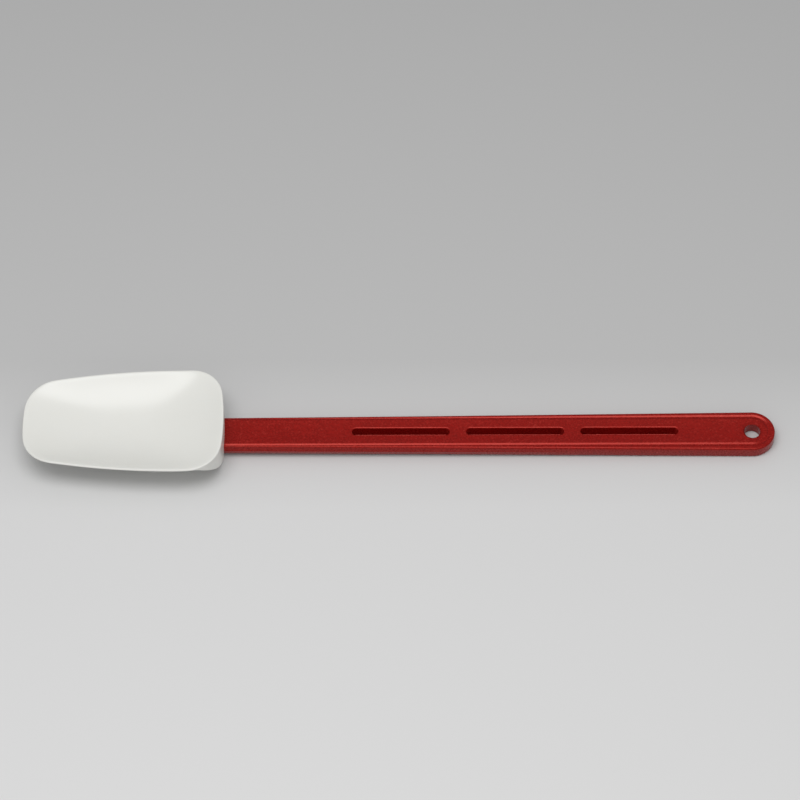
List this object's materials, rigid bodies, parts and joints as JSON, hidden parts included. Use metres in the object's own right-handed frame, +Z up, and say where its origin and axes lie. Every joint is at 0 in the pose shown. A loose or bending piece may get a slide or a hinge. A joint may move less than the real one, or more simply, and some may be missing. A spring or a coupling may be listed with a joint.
{
  "type": "silicone spoon",
  "caption": "Long-handled kitchen spoon: a soft white silicone bowl with a raised rim, moulded over the tang of a flat red nylon handle with edge grooves, long pockets and a hanging hole.",
  "frame": {"origin": "on the table under the middle of the spoon's length, in its plane of symmetry", "axes": "+X along the spoon from the bowl's tip to the hanging end, +Z up out of the open bowl"},
  "size_m": [0.4193, 0.0674, 0.0233],
  "materials": {
    "red_nylon": "satin, finely grained glass-filled nylon",
    "white_silicone": "smooth satin silicone"
  },
  "bodies": {
    "root": {"handle": "red_nylon", "spoon_head": "white_silicone"}
  },
  "joints": []
}
